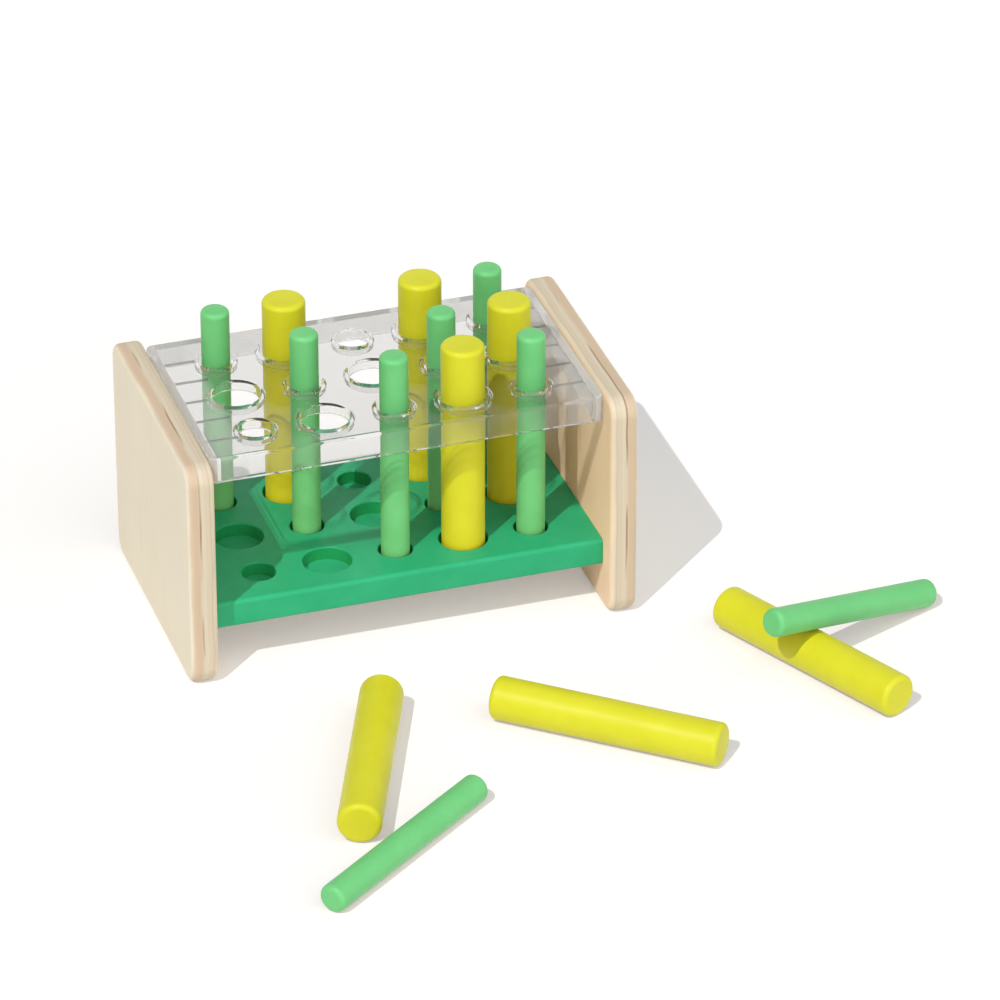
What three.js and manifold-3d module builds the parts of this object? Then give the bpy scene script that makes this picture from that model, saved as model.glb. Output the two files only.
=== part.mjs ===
// Peg posting stand: a painted board with round sockets is held between two plywood end panels, and
// a clear guide tray bridges the panels above it. Slim and thick pegs stand in the sockets through
// the tray's collared holes, and the rest of the set lies loose on the table in front.
// Millimetres. +X runs along the stand, +Y to its back, +Z up. The origin is the centre of the
// board's underside.

import * as THREE from 'three';
import { mergeVertices } from 'three/addons/utils/BufferGeometryUtils.js';
import Module from 'manifold-3d';

// Hole pattern
const PITCH = 30;
const COLUMNS = 5;
const ROWS = 3;

// Pegs
const PEG_LENGTH = 100;
const SLIM_DIAMETER = 12.2;
const THICK_DIAMETER = 18.5;
const PEG_EDGE_RADIUS = 2.2;
const PEG_CLEARANCE = 1.2; // on the radius, in sockets and guide holes alike

// Painted board
const BOARD_THICKNESS = 12.5;
const BOARD_END_MARGIN = 25.8; // centre of the outer column to the board's end
const BOARD_SIDE_MARGIN = 20; // centre of the outer row to the board's edge
const BOARD_EDGE_RADIUS = 2;
const BOARD_END_CHAMFER = 0.5;
const SOCKET_DEPTH = 6;
const SOCKET_MOUTH = 0.6; // eased edge round each socket

// Plywood end panels
const PANEL_THICKNESS = 12;
const PANEL_OVERHANG = 10; // past the board's front and back edges
const PANEL_CORNER_RADIUS = 8.5;
const PANEL_EDGE_RADIUS = 2.7;
const FOOT_CLEARANCE = 20.5; // board's underside above the table
const PANEL_LIP = 1; // panels stand this much above the tray

// Clear guide tray
const TRAY_RISE = 70; // board's top to the tray's top
const TRAY_HEIGHT = 12;
const TRAY_PLATE = 2;
const TRAY_SKIRT = 2.4; // front and back walls
const TRAY_END_WALL = 3.3;
const TRAY_CORNER_RADIUS = 3;
const TRAY_EDGE_RADIUS = 1.2;
const COLLAR_WALL = 1.7;
const COLLAR_DEPTH = 5; // tray's top to the collars' lower ends
const RIM_RADIUS = 1;
const RIB_COUNT = 5;
const RIB_THICKNESS = 0.8;
const RIB_DEPTH = 2.7; // tray's top to the ribs' lower edges
const RIB_LENGTH = 15;
const TONGUE_WIDTH = 58;
const TONGUE_HEIGHT = 6;
const TONGUE_LENGTH = 5.5;
const TONGUE_CORNER_RADIUS = 2;

// Hidden dowels between board and panels
const DOWEL_DIAMETER = 6;
const DOWELS_PER_END = 3;
const DOWEL_SPACING = 36;
const DOWEL_IN_PANEL = 8;
const DOWEL_TO_SOCKET = 3; // wood left between a dowel's bore and the nearest socket
const DOWEL_CHAMFER = 0.6;

// Gap between a piece and the one that it seats in
const FIT_GAP = 0.3;

// Sockets that hold a peg, as [column from the left, row from the back]
const FILLED = [[1, 1], [2, 1], [4, 1], [5, 1], [2, 2], [4, 2], [5, 2], [3, 3], [4, 3], [5, 3]];

// Loose pegs, by the end nearer the viewer: across from the stand's centre, ahead of the panels'
// front edges, and the heading of the other end in degrees from +X towards +Y
const MIDDLE_PEG = { across: 93, ahead: 121.5, heading: 140.4 };
const LEFT_PEG = { across: -65.3, ahead: 132, heading: 67.7 };
const PROP_PEG = { across: 174.7, ahead: 109.4, heading: 116.1 };
const NEAR_PEG_ASIDE = 24.7; // the near peg's end, to the left of the left peg's
const NEAR_PEG_AHEAD = 43; // and ahead of it
const NEAR_PEG_HEADING = 36.9;
const LEAN_PLACE = 52; // the prop peg's near end to where the slim peg crosses it
const LEAN_REACH = 72; // the leaning peg's foot to where it rests

// Facets round a full circle and steps along a rounded edge, and what the cutting and welding need
const PEG_FACETS = 24;
const HOLE_FACETS = 24;
const DOWEL_FACETS = 16;
const CORNER_STEPS = 6;
const EDGE_STEPS = 3;
const PEG_EDGE_STEPS = 2;
const RIM_STEPS = 2;
const CHAMFER_STEPS = 1;
const CUT_PAST = 1; // how far a cutter stands out of the face that it opens
const WELD_DISTANCE = 1e-4;

// Sizes that follow from the ones above
const boardLength = (COLUMNS - 1) * PITCH + 2 * BOARD_END_MARGIN;
const boardDepth = (ROWS - 1) * PITCH + 2 * BOARD_SIDE_MARGIN;
const slimBore = SLIM_DIAMETER / 2 + PEG_CLEARANCE;
const thickBore = THICK_DIAMETER / 2 + PEG_CLEARANCE;
const panelDepth = boardDepth + 2 * PANEL_OVERHANG;
const trayTop = BOARD_THICKNESS + TRAY_RISE;
const trayLength = boardLength - 2 * FIT_GAP;
const trayMiddle = trayTop - TRAY_HEIGHT / 2;
const panelHeight = FOOT_CLEARANCE + trayTop + PANEL_LIP;
const tableLevel = -FOOT_CLEARANCE;
const dowelInBoard = BOARD_END_MARGIN - thickBore - DOWEL_TO_SOCKET - FIT_GAP;
const dowelLength = dowelInBoard + DOWEL_IN_PANEL;
const nearPeg = {
  across: LEFT_PEG.across - NEAR_PEG_ASIDE,
  ahead: LEFT_PEG.ahead + NEAR_PEG_AHEAD,
  heading: NEAR_PEG_HEADING,
};

const paint = (color) => new THREE.MeshStandardMaterial({ color, roughness: 0.5, metalness: 0 });
const BIRCH = new THREE.MeshStandardMaterial({ color: 0xe6dac4, roughness: 0.6, metalness: 0 });
const BOARD_PAINT = paint(0x38b680);
const SLIM_PAINT = paint(0x72d07e);
const THICK_PAINT = paint(0xdedd38);
const CLEAR = new THREE.MeshStandardMaterial({
  color: 0xf2f4f4,
  roughness: 0.05,
  metalness: 0,
  transparent: true,
  opacity: 0.3,
});

const wasm = await Module();
wasm.setup();

// A closed three.js geometry as a solid that can be joined and cut
function toSolid(geometry) {
  const bare = geometry.clone();
  bare.deleteAttribute('normal');
  bare.deleteAttribute('uv');
  const welded = mergeVertices(bare, WELD_DISTANCE);
  const corners = welded.index.array;
  const triangles = [];
  for (let i = 0; i < corners.length; i += 3) {
    const [a, b, c] = [corners[i], corners[i + 1], corners[i + 2]];
    if (a !== b && b !== c && c !== a) triangles.push(a, b, c);
  }
  return new wasm.Manifold(new wasm.Mesh({
    numProp: 3,
    vertProperties: Float32Array.from(welded.attributes.position.array),
    triVerts: Uint32Array.from(triangles),
  }));
}

function toGeometry(solid) {
  const { vertProperties, triVerts } = solid.getMesh();
  const geometry = new THREE.BufferGeometry();
  geometry.setAttribute('position', new THREE.BufferAttribute(Float32Array.from(vertProperties), 3));
  geometry.setIndex(new THREE.BufferAttribute(Uint32Array.from(triVerts), 1));
  geometry.computeVertexNormals();
  return geometry;
}

const joinAll = (solids) => solids.reduce((whole, piece) => whole.add(piece));
const cutAll = (body, tools) => tools.reduce((left, tool) => left.subtract(tool), body);

function namedMesh(name, geometry, material) {
  const mesh = new THREE.Mesh(geometry, material);
  mesh.name = name;
  return mesh;
}

function roundedRect(width, height, radius) {
  const x = width / 2 - radius;
  const y = height / 2 - radius;
  const quarter = Math.PI / 2;
  const shape = new THREE.Shape();
  shape.absarc(x, y, radius, 0, quarter, false);
  shape.absarc(-x, y, radius, quarter, 2 * quarter, false);
  shape.absarc(-x, -y, radius, 2 * quarter, 3 * quarter, false);
  shape.absarc(x, -y, radius, 3 * quarter, 4 * quarter, false);
  return shape;
}

// A flat piece from z = 0 to its thickness, with its outline's edges rounded
function slab(shape, thickness, edge = 0, edgeSteps = EDGE_STEPS) {
  const geometry = new THREE.ExtrudeGeometry(shape, {
    depth: thickness - 2 * edge,
    curveSegments: CORNER_STEPS / 2,
    bevelEnabled: edge > 0,
    bevelThickness: edge,
    bevelSize: edge,
    bevelOffset: -edge,
    bevelSegments: edgeSteps,
  });
  return geometry.translate(0, 0, edge);
}

// Turns a piece drawn in its cross-section so that its thickness runs along +X
function alongX(geometry) {
  const [x, y, z] = [new THREE.Vector3(1, 0, 0), new THREE.Vector3(0, 1, 0), new THREE.Vector3(0, 0, 1)];
  return geometry.applyMatrix4(new THREE.Matrix4().makeBasis(y, z, x));
}

// A round piece standing on the z axis, from [radius, height] pairs listed from the bottom up
function turned(profile, facets) {
  const points = profile.map(([radius, height]) => new THREE.Vector2(radius, height));
  return new THREE.LatheGeometry(points, facets).rotateX(Math.PI / 2);
}

function arc(centreRadius, centreHeight, radius, from, to, steps) {
  return Array.from({ length: steps + 1 }, (_, i) => {
    const angle = THREE.MathUtils.degToRad(from + (to - from) * i / steps);
    return [centreRadius + radius * Math.cos(angle), centreHeight + radius * Math.sin(angle)];
  });
}

const isSlim = (column, row) => (column + row) % 2 === 0;
const columnX = (column) => (column - (COLUMNS + 1) / 2) * PITCH;
const rowY = (row) => ((ROWS + 1) / 2 - row) * PITCH;

// Every place of the hole pattern, with the radius of its bore
function places() {
  const found = [];
  for (let row = 1; row <= ROWS; row += 1) {
    for (let column = 1; column <= COLUMNS; column += 1) {
      const bore = isSlim(column, row) ? slimBore : thickBore;
      found.push({ column, row, x: columnX(column), y: rowY(row), bore });
    }
  }
  return found;
}

// The dowels' offsets from front to back at one end
function dowelOffsets() {
  return Array.from({ length: DOWELS_PER_END }, (_, i) => (i - (DOWELS_PER_END - 1) / 2) * DOWEL_SPACING);
}

// A dowel, or with a gap the bore that takes it, at the board's right end
function dowelForm(y, gap, chamfer) {
  const radius = DOWEL_DIAMETER / 2 + gap;
  const low = -dowelInBoard - gap;
  const high = DOWEL_IN_PANEL + gap;
  const profile = [
    [0, low], [radius - chamfer, low], [radius, low + chamfer],
    [radius, high - chamfer], [radius - chamfer, high], [0, high],
  ];
  const geometry = turned(profile, DOWEL_FACETS).rotateY(Math.PI / 2);
  return geometry.translate(boardLength / 2, y, BOARD_THICKNESS / 2);
}

const dowelBores = () => dowelOffsets().map((y) => toSolid(dowelForm(y, FIT_GAP, 0)));
const flipEnds = (solid) => toSolid(toGeometry(solid).rotateZ(Math.PI));

function makeBoard() {
  const profile = roundedRect(boardDepth, BOARD_THICKNESS, BOARD_EDGE_RADIUS);
  const blank = alongX(slab(profile, boardLength, BOARD_END_CHAMFER, CHAMFER_STEPS));
  const board = toSolid(blank.translate(-boardLength / 2, 0, BOARD_THICKNESS / 2));
  const floor = BOARD_THICKNESS - SOCKET_DEPTH;
  const above = BOARD_THICKNESS + CUT_PAST;
  const sockets = places().map(({ x, y, bore }) => {
    const profileUp = [
      [0, floor], [bore, floor], [bore, BOARD_THICKNESS - SOCKET_MOUTH],
      [bore + SOCKET_MOUTH, BOARD_THICKNESS], [bore + SOCKET_MOUTH, above], [0, above],
    ];
    return toSolid(turned(profileUp, HOLE_FACETS).translate(x, y, 0));
  });
  const right = joinAll(dowelBores());
  return toGeometry(cutAll(board, [...sockets, right, flipEnds(right)]));
}

// The tray's tongue, or with a gap the mortise that takes it, reaching out from the board's right end
function tongueForm(gap, start, end) {
  const section = roundedRect(TONGUE_WIDTH + 2 * gap, TONGUE_HEIGHT + 2 * gap, TONGUE_CORNER_RADIUS + gap);
  return alongX(slab(section, end - start)).translate(start, 0, trayMiddle);
}

function makeRightPanel() {
  const outline = roundedRect(panelDepth, panelHeight, PANEL_CORNER_RADIUS);
  const blank = alongX(slab(outline, PANEL_THICKNESS, PANEL_EDGE_RADIUS));
  const panel = toSolid(blank.translate(boardLength / 2, 0, tableLevel + panelHeight / 2));
  const inner = boardLength / 2;
  const mortise = toSolid(tongueForm(FIT_GAP, inner - FIT_GAP, inner + TONGUE_LENGTH));
  return cutAll(panel, [mortise, ...dowelBores()]);
}

function trayShell() {
  const outline = roundedRect(trayLength, boardDepth, TRAY_CORNER_RADIUS);
  const blank = slab(outline, TRAY_HEIGHT, TRAY_EDGE_RADIUS).translate(0, 0, trayTop - TRAY_HEIGHT);
  const hollow = roundedRect(
    trayLength - 2 * TRAY_END_WALL,
    boardDepth - 2 * TRAY_SKIRT,
    TRAY_CORNER_RADIUS,
  );
  const cavity = slab(hollow, TRAY_HEIGHT).translate(0, 0, trayTop - TRAY_PLATE - TRAY_HEIGHT);
  return toSolid(blank).subtract(toSolid(cavity));
}

// The collar under one hole of the tray, sunk into the plate above it
function collar({ x, y, bore }) {
  const low = trayTop - COLLAR_DEPTH;
  const high = trayTop - TRAY_PLATE / 2;
  const outer = bore + COLLAR_WALL;
  const profile = [[0, low], [outer, low], [outer, high], [0, high]];
  return toSolid(turned(profile, HOLE_FACETS).translate(x, y, 0));
}

// The hole through plate and collar, with a rounded rim
function guideHole({ x, y, bore }) {
  const rim = arc(bore + RIM_RADIUS, trayTop - RIM_RADIUS, RIM_RADIUS, 180, 90, RIM_STEPS);
  const above = trayTop + CUT_PAST;
  const profile = [[0, trayTop - TRAY_HEIGHT], [bore, trayTop - TRAY_HEIGHT], ...rim];
  profile.push([bore + RIM_RADIUS, above], [0, above]);
  return toSolid(turned(profile, HOLE_FACETS).translate(x, y, 0));
}

// Thin ribs under the plate, from the right end wall in to the outer column's collars
function endRibs() {
  const high = trayTop - TRAY_PLATE / 2;
  const low = trayTop - RIB_DEPTH;
  const wall = trayLength / 2 - TRAY_END_WALL / 2;
  const length = RIB_LENGTH + TRAY_END_WALL / 2;
  const step = boardDepth / (RIB_COUNT + 1);
  return Array.from({ length: RIB_COUNT }, (_, i) => {
    const rib = new THREE.BoxGeometry(length, RIB_THICKNESS, high - low);
    const y = (i - (RIB_COUNT - 1) / 2) * step;
    return toSolid(rib.translate(wall - length / 2, y, (low + high) / 2));
  });
}

function makeTray() {
  const wall = (trayLength - TRAY_END_WALL) / 2;
  const tongue = toSolid(tongueForm(0, wall, trayLength / 2 + TONGUE_LENGTH));
  const rightEnd = joinAll([tongue, ...endRibs()]);
  const whole = joinAll([trayShell(), ...places().map(collar), rightEnd, flipEnds(rightEnd)]);
  return toGeometry(cutAll(whole, places().map(guideHole)));
}

// A peg standing on z = 0, with both ends rounded at the edge
function pegForm(diameter) {
  const flat = diameter / 2 - PEG_EDGE_RADIUS;
  const foot = arc(flat, PEG_EDGE_RADIUS, PEG_EDGE_RADIUS, -90, 0, PEG_EDGE_STEPS);
  const head = arc(flat, PEG_LENGTH - PEG_EDGE_RADIUS, PEG_EDGE_RADIUS, 0, 90, PEG_EDGE_STEPS);
  return turned([[0, 0], ...foot, ...head, [0, PEG_LENGTH]], PEG_FACETS);
}

const slimPeg = (number) => namedMesh(`slim_peg_${number}`, pegForm(SLIM_DIAMETER), SLIM_PAINT);
const thickPeg = (number) => namedMesh(`thick_peg_${number}`, pegForm(THICK_DIAMETER), THICK_PAINT);

// Lays a peg on the table in a group at its near end, turned to its heading
function lay(peg, { across, ahead, heading }, diameter) {
  const place = new THREE.Group();
  place.position.set(across, -panelDepth / 2 - ahead, tableLevel + diameter / 2);
  place.rotation.z = THREE.MathUtils.degToRad(heading);
  peg.rotation.y = Math.PI / 2;
  place.add(peg);
  return place;
}

// Leans a slim peg square across the thick prop peg: its foot stands on the table, and its side
// rests on the prop. The lean angle is the one at which both are true.
function lean(peg) {
  const prop = THICK_DIAMETER / 2;
  const spacing = prop + SLIM_DIAMETER / 2 + FIT_GAP;
  const along = LEAN_REACH - PEG_EDGE_RADIUS;
  const across = prop + FIT_GAP + PEG_EDGE_RADIUS;
  const angle = Math.asin((prop - PEG_EDGE_RADIUS) / Math.hypot(along, across)) + Math.atan2(across, along);
  const flat = SLIM_DIAMETER / 2 - PEG_EDGE_RADIUS;
  const footOut = spacing * Math.sin(angle) + LEAN_REACH * Math.cos(angle);
  const footUp = flat * Math.cos(angle) + PEG_EDGE_RADIUS * (1 - Math.sin(angle));
  const heading = THREE.MathUtils.degToRad(PROP_PEG.heading);
  const place = new THREE.Group();
  place.position.set(
    PROP_PEG.across + LEAN_PLACE * Math.cos(heading),
    -panelDepth / 2 - PROP_PEG.ahead + LEAN_PLACE * Math.sin(heading),
    tableLevel,
  );
  place.rotation.z = heading - Math.PI / 2;
  peg.position.set(footOut, 0, footUp);
  peg.rotation.y = angle - Math.PI / 2;
  place.add(peg);
  return place;
}

function makeStand() {
  const stand = new THREE.Group();
  const panel = makeRightPanel();
  stand.add(namedMesh('right_end_panel', toGeometry(panel), BIRCH));
  stand.add(namedMesh('left_end_panel', toGeometry(flipEnds(panel)), BIRCH));
  stand.add(namedMesh('peg_board', makeBoard(), BOARD_PAINT));
  stand.add(namedMesh('guide_tray', makeTray(), CLEAR));
  dowelOffsets().forEach((y, i) => {
    const form = dowelForm(y, 0, DOWEL_CHAMFER);
    stand.add(namedMesh(`right_dowel_${i + 1}`, form, BIRCH));
    stand.add(namedMesh(`left_dowel_${i + 1}`, form.clone().rotateZ(Math.PI), BIRCH));
  });
  return stand;
}

function makePegs() {
  const pegs = new THREE.Group();
  let slim = 0;
  let thick = 0;
  for (const [column, row] of FILLED) {
    const peg = isSlim(column, row) ? slimPeg(slim += 1) : thickPeg(thick += 1);
    peg.position.set(columnX(column), rowY(row), BOARD_THICKNESS - SOCKET_DEPTH);
    pegs.add(peg);
  }
  for (const spot of [MIDDLE_PEG, LEFT_PEG, PROP_PEG]) {
    pegs.add(lay(thickPeg(thick += 1), spot, THICK_DIAMETER));
  }
  pegs.add(lay(slimPeg(slim += 1), nearPeg, SLIM_DIAMETER));
  pegs.add(lean(slimPeg(slim += 1)));
  return pegs;
}

const set = new THREE.Group();
set.add(makeStand(), makePegs());

export default set;
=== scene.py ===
"""Looks of a peg posting stand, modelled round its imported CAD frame.

The stand is two plywood end panels, a painted board with round sockets and a clear guide tray. Slim
and thick painted pegs stand in it, and the rest of the set lies on the floor. Every size is in metres.
"""

import logging
from collections.abc import Callable, Iterable, Mapping, Sequence
from dataclasses import dataclass, field
from enum import Enum
from math import cos, pi, radians, sin
from typing import Any

import bmesh
import bpy
import numpy as np
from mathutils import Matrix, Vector


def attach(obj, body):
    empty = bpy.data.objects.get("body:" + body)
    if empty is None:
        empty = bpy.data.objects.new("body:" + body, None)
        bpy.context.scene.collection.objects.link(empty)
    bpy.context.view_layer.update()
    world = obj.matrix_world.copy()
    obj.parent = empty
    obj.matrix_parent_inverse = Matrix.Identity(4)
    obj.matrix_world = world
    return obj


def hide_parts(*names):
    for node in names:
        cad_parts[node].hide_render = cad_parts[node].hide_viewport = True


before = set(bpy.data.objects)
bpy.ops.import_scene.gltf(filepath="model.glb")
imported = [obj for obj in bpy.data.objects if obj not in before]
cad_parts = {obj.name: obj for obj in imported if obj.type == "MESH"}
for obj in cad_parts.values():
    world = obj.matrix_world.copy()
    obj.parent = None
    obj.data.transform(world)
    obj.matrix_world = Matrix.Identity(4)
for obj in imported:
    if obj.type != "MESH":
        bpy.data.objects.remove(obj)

LOG = logging.getLogger("peg_stand")
MM = 0.001
SMOOTH_ANGLE = radians(32)
FLAT_FACE_WEIGHT = 90
CUT_PAST = 0.02 * MM
SAME_LEVEL = 0.001 * MM
PARALLEL = 0.999
NOISE_BAND = (0.3, 0.7)
PEG_PLACES = "turning"
UP = Vector((0.0, 0.0, 1.0))

Piece = bpy.types.Object
Material = bpy.types.Material
Tree = bpy.types.NodeTree
Socket = bpy.types.NodeSocket
EdgeTest = Callable[[Vector, Vector], bool]
Band = tuple[float, float]
Triple = tuple[float, float, float]
Stops = tuple[tuple[float, str], ...]
Profile = Sequence[tuple[float, float]]
Sockets = Mapping[str | int, Any]


class End(Enum):
    """The two ends of the stand, valued by the sign of their x."""

    LEFT = -1
    RIGHT = 1


class PegSize(Enum):
    """The two thicknesses of peg, valued by the start of their nodes' names."""

    SLIM = "slim_peg"
    THICK = "thick_peg"


class Cut(Enum):
    """What one solid does to another, as the Boolean modifier names it."""

    JOIN = "UNION"
    REMOVE = "DIFFERENCE"


# Modelling steps that every piece shares


def deselect() -> None:
    """Leaves nothing selected, in object mode."""
    bpy.ops.object.select_all(action="DESELECT")


def choose(*objects: Piece) -> None:
    """Selects these objects only, and makes the first one active."""
    deselect()
    for obj in objects:
        obj.select_set(True)
    bpy.context.view_layer.objects.active = objects[0]


def made(name: str) -> Piece:
    """Names the primitive that was just added, and returns it."""
    obj = bpy.context.active_object
    obj.name = name
    obj.data.name = name
    return obj


def settle(obj: Piece) -> Piece:
    """Moves an object's place into its mesh, so that it sits at the origin, and returns it."""
    choose(obj)
    bpy.ops.object.transform_apply(location=True, rotation=True, scale=True)
    return obj


def block(name: str, low: Vector, high: Vector) -> Piece:
    """Adds a rectangular blank.

    Args:
        name: The object's name.
        low: Its lowest corner.
        high: Its highest corner.

    Returns:
        The blank.
    """
    deselect()
    bpy.ops.mesh.primitive_cube_add(size=1.0)
    obj = made(name)
    bpy.ops.object.mode_set(mode="EDIT")
    bpy.ops.mesh.select_all(action="SELECT")
    bpy.ops.transform.resize(value=high - low)
    bpy.ops.transform.translate(value=(low + high) / 2)
    bpy.ops.object.mode_set(mode="OBJECT")
    return obj


def turned(name: str, profile: Profile, facets: int) -> Piece:
    """Turns a closed round blank about the z axis.

    Args:
        name: The object's name.
        profile: Its rings as (radius, height), from the bottom up.
        facets: How many faces go round it.

    Returns:
        The blank.
    """
    deselect()
    radius, height = profile[0]
    bpy.ops.mesh.primitive_circle_add(vertices=facets, radius=radius, fill_type="NGON")
    obj = made(name)
    bpy.ops.object.mode_set(mode="EDIT")
    bpy.ops.mesh.select_all(action="SELECT")
    bpy.ops.transform.translate(value=(0.0, 0.0, height))
    for next_radius, next_height in profile[1:]:
        rise = (0.0, 0.0, next_height - height)
        bpy.ops.mesh.extrude_region_move(TRANSFORM_OT_translate={"value": rise})
        grow = next_radius / radius
        bpy.ops.transform.resize(value=(grow, grow, 1.0))
        radius, height = next_radius, next_height
    bpy.ops.mesh.select_all(action="SELECT")
    bpy.ops.mesh.normals_make_consistent(inside=False)
    bpy.ops.object.mode_set(mode="OBJECT")
    return obj


def quarter(centre: tuple[float, float], radius: float, start: float, end: float, steps: int) -> list:
    """Lists the points of an arc for a turned profile.

    Args:
        centre: The arc's centre as (radius, height).
        radius: The arc's own radius.
        start: Where it starts, in degrees.
        end: Where it ends, in degrees.
        steps: How many chords it has.

    Returns:
        The points as (radius, height).
    """
    angles = [radians(start + (end - start) * i / steps) for i in range(steps + 1)]
    return [(centre[0] + radius * cos(a), centre[1] + radius * sin(a)) for a in angles]


def round_edges(obj: Piece, test: EdgeTest, radius: float, steps: int) -> None:
    """Rounds the edges whose two ends pass a test.

    Args:
        obj: The piece.
        test: Takes an edge's two ends and says whether it is rounded.
        radius: The rounding's radius.
        steps: How many faces go across it.
    """
    choose(obj)
    bpy.ops.object.mode_set(mode="EDIT")
    bpy.ops.mesh.select_mode(type="EDGE")
    bpy.ops.mesh.select_all(action="DESELECT")
    mesh = bmesh.from_edit_mesh(obj.data)
    for edge in mesh.edges:
        edge.select_set(test(edge.verts[0].co, edge.verts[1].co))
    bmesh.update_edit_mesh(obj.data)
    bpy.ops.mesh.bevel(offset=radius, segments=steps, affect="EDGES", clamp_overlap=False)
    bpy.ops.object.mode_set(mode="OBJECT")


def along(axis: int) -> EdgeTest:
    """Returns a test for edges that run along one axis, numbered from 0 for x."""
    return lambda a, b: abs((b - a).normalized()[axis]) > PARALLEL


def at_level(axis: int, *levels: float) -> EdgeTest:
    """Returns a test for edges that lie whole in a plane at one of the levels along an axis."""
    return lambda a, b: any(max(abs(a[axis] - v), abs(b[axis] - v)) < SAME_LEVEL for v in levels)


def use_modifier(obj: Piece, kind: str, settings: Mapping[str, Any]) -> None:
    """Adds a modifier with its settings to a piece, and applies it."""
    choose(obj)
    modifier = obj.modifiers.new(kind.lower(), kind)
    for key, value in settings.items():
        setattr(modifier, key, value)
    bpy.ops.object.modifier_apply(modifier=modifier.name)


def combine(body: Piece, tool: Piece, cut: Cut) -> None:
    """Joins a solid to a body, or cuts it out, and removes the solid."""
    use_modifier(body, "BOOLEAN", {"operation": cut.value, "solver": "EXACT", "object": tool})
    bpy.data.objects.remove(tool)


def gather(name: str, objects: Iterable[Piece]) -> Piece:
    """Makes one object of several that don't touch, and returns it."""
    choose(*objects)
    bpy.ops.object.join()
    return made(name)


def copy_of(obj: Piece, name: str, place: Vector) -> Piece:
    """Copies a piece with a mesh of its own.

    Args:
        obj: The piece to copy.
        name: The copy's name.
        place: Where the copy goes from the first piece's place.

    Returns:
        The copy.
    """
    choose(obj)
    bpy.ops.object.duplicate(linked=False)
    twin = made(name)
    bpy.ops.transform.translate(value=place)
    return settle(twin)


def smooth(obj: Piece) -> None:
    """Shades a piece's rounded edges smooth and its flat faces flat."""
    choose(obj)
    bpy.ops.object.shade_smooth_by_angle(angle=SMOOTH_ANGLE)
    use_modifier(obj, "WEIGHTED_NORMAL", {"keep_sharp": True, "weight": FLAT_FACE_WEIGHT})


def put_up(obj: Piece, body: str, node: str, material: Material) -> None:
    """Dresses a finished piece and ties it to the CAD frame.

    Args:
        obj: The piece.
        body: The CAD body that it rides on.
        node: The CAD node that it stands for.
        material: Its finish.
    """
    obj.data.materials.clear()
    obj.data.materials.append(material)
    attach(obj, body)
    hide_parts(node)
    LOG.info("%s rides on %s: %d faces", obj.name, body, len(obj.data.polygons))


# Finishes


def linear(hex_colour: str) -> tuple[float, float, float, float]:
    """Returns an sRGB hex colour such as "#38b680" as linear RGBA."""
    parts = [int(hex_colour[i:i + 2], 16) / 255 for i in (1, 3, 5)]
    red, green, blue = [p / 12.92 if p <= 0.04045 else ((p + 0.055) / 1.055) ** 2.4 for p in parts]
    return (red, green, blue, 1.0)


def per_mm(millimetres: float) -> float:
    """Returns the texture scale at which one feature is about this many millimetres across."""
    return 1.0 / (millimetres * MM)


def add_node(tree: Tree, kind: str, settings: Mapping[str, Any], sockets: Sockets) -> Any:
    """Adds a shader node with its settings and links.

    Args:
        tree: The material's node tree.
        kind: The node's type, without "ShaderNode" before it.
        settings: The node's own properties. The key "stops" fills a ramp with (place, hex colour).
        sockets: For each input by name or number, a socket to link or a value to set.

    Returns:
        The node.
    """
    node = tree.nodes.new(f"ShaderNode{kind}")
    for key, value in settings.items():
        if key != "stops":
            setattr(node, key, value)
            continue
        ramp = node.color_ramp.elements
        while len(ramp) < len(value):
            ramp.new(0.5)
        for stop, (place, tone) in zip(ramp, value):
            stop.position = place
            stop.color = linear(tone)
    for key, value in sockets.items():
        if isinstance(value, Socket):
            tree.links.new(value, node.inputs[key])
        else:
            node.inputs[key].default_value = value
    return node


def between(band: Band) -> dict[str, float]:
    """Returns the settings with which a Map Range node spreads a band of values."""
    return {"From Min": band[0], "From Max": band[1]}


def facing(tree: Tree) -> tuple[Any, Socket]:
    """Returns a node with the parts of the surface's normal, and how level it lies, from 0 to 1."""
    normal = add_node(tree, "NewGeometry", {}, {}).outputs["Normal"]
    face = add_node(tree, "SeparateXYZ", {}, {0: normal})
    flat = add_node(tree, "Math", {"operation": "ABSOLUTE"}, {0: face.outputs["Z"]})
    return face, flat.outputs[0]


def new_tree(name: str) -> tuple[Material, Tree]:
    """Returns a new material with an empty node tree, and the tree."""
    material = bpy.data.materials.new(name)
    material.use_nodes = True
    material.node_tree.nodes.clear()
    return material, material.node_tree


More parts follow.
